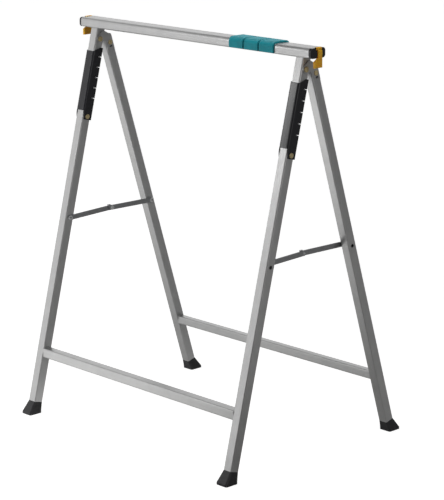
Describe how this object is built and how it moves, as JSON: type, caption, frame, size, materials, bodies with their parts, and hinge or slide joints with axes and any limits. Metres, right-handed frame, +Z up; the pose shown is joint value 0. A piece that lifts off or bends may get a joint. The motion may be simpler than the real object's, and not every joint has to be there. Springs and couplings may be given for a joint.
{
  "type": "folding sawhorse",
  "caption": "Folding sawhorse: tubular beam on hinged A-frame legs with crossbars and folding stays, swing-out notched support arms, clip-on grip pads and flip-up end stops.",
  "frame": {"origin": "on the floor, at the middle of the footprint of the standing sawhorse", "axes": "+X along the beam, +Y towards the rear legs, +Z up"},
  "size_m": [0.649, 0.4718, 0.7863],
  "materials": {
    "tube_silver": "satin silver-grey paint",
    "strip_steel": "satin grey paint",
    "zinc_rivet": "bright zinc plate",
    "black_plastic": "fine moulded grain",
    "foot_rubber": "matt moulded rubber",
    "yellow_plastic": "satin moulded plastic",
    "teal_pad": "soft matt moulded plastic"
  },
  "bodies": {
    "front_frame": {"beam_tube": "tube_silver", "front_crossbar": "tube_silver", "grip_pad_1": "teal_pad", "grip_pad_2": "teal_pad", "grip_pad_3": "teal_pad", "end_cap_left": "black_plastic", "end_cap_right": "black_plastic", "stop_pin_left": "zinc_rivet", "stop_pin_right": "zinc_rivet", "front_leg_left": "tube_silver", "front_leg_right": "tube_silver", "front_foot_left": "foot_rubber", "front_foot_right": "foot_rubber", "hinge_pin_left": "zinc_rivet", "hinge_pin_right": "zinc_rivet", "arm_pin_left": "zinc_rivet", "arm_pin_right": "zinc_rivet", "stay_front_rivet_left": "zinc_rivet", "stay_front_rivet_right": "zinc_rivet"},
    "rear_frame": {"rear_crossbar": "tube_silver", "rear_leg_left": "tube_silver", "rear_leg_right": "tube_silver", "rear_foot_left": "foot_rubber", "rear_foot_right": "foot_rubber", "hinge_bracket_left": "tube_silver", "hinge_bracket_right": "tube_silver", "bracket_rivet_left": "zinc_rivet", "bracket_rivet_right": "zinc_rivet", "stay_spacer_left": "strip_steel", "stay_spacer_right": "strip_steel"},
    "stay_front_left": {"stay_front_strip_left": "strip_steel", "stay_middle_rivet_left": "zinc_rivet"},
    "stay_rear_left": {"stay_rear_strip_left": "strip_steel", "stay_rear_rivet_left": "zinc_rivet"},
    "support_arm_left": {"support_arm_left": "black_plastic"},
    "flip_stop_left": {"flip_stop_left": "yellow_plastic"},
    "stay_front_right": {"stay_front_strip_right": "strip_steel", "stay_middle_rivet_right": "zinc_rivet"},
    "stay_rear_right": {"stay_rear_strip_right": "strip_steel", "stay_rear_rivet_right": "zinc_rivet"},
    "support_arm_right": {"support_arm_right": "black_plastic"},
    "flip_stop_right": {"flip_stop_right": "yellow_plastic"}
  },
  "joints": [
    {"name": "frame_fold", "type": "hinge", "parent": "front_frame", "child": "rear_frame", "pos_m": [0, -0.02954, 0.742], "axis": [-1, 0, 0], "range_deg": [0, 30.85]},
    {"name": "stay_front_turn_left", "type": "hinge", "parent": "front_frame", "child": "stay_front_left", "pos_m": [-0.287, -0.11806, 0.3903], "axis": [1, 0, 0], "range_deg": [0, 48.3]},
    {"name": "stay_rear_turn_left", "type": "hinge", "parent": "stay_front_left", "child": "stay_rear_left", "pos_m": [-0.287, -0.01002, 0.39475], "axis": [-1, 0, 0], "range_deg": [0, 164.8]},
    {"name": "stay_front_turn_right", "type": "hinge", "parent": "front_frame", "child": "stay_front_right", "pos_m": [0.287, -0.11806, 0.3903], "axis": [1, 0, 0], "range_deg": [0, 48.3]},
    {"name": "stay_rear_turn_right", "type": "hinge", "parent": "stay_front_right", "child": "stay_rear_right", "pos_m": [0.287, -0.01002, 0.39475], "axis": [-1, 0, 0], "range_deg": [0, 164.8]},
    {"name": "support_arm_swing_left", "type": "hinge", "parent": "front_frame", "child": "support_arm_left", "pos_m": [-0.287, -0.06786, 0.58975], "axis": [1, 0, 0], "range_deg": [0, 90]},
    {"name": "flip_stop_turn_left", "type": "hinge", "parent": "front_frame", "child": "flip_stop_left", "pos_m": [-0.3206, -0.024, 0.7812], "axis": [0, 1, 0], "range_deg": [0, 180]},
    {"name": "support_arm_swing_right", "type": "hinge", "parent": "front_frame", "child": "support_arm_right", "pos_m": [0.287, -0.06786, 0.58975], "axis": [1, 0, 0], "range_deg": [0, 90]},
    {"name": "flip_stop_turn_right", "type": "hinge", "parent": "front_frame", "child": "flip_stop_right", "pos_m": [0.3206, -0.024, 0.7812], "axis": [0, -1, 0], "range_deg": [0, 180]}
  ],
  "couplings": [
    {"joint": "stay_front_turn_left", "follows": "frame_fold", "ratio": 1.5655},
    {"joint": "stay_rear_turn_left", "follows": "frame_fold", "ratio": 5.3424},
    {"joint": "stay_front_turn_right", "follows": "frame_fold", "ratio": 1.5655},
    {"joint": "stay_rear_turn_right", "follows": "frame_fold", "ratio": 5.3424}
  ]
}
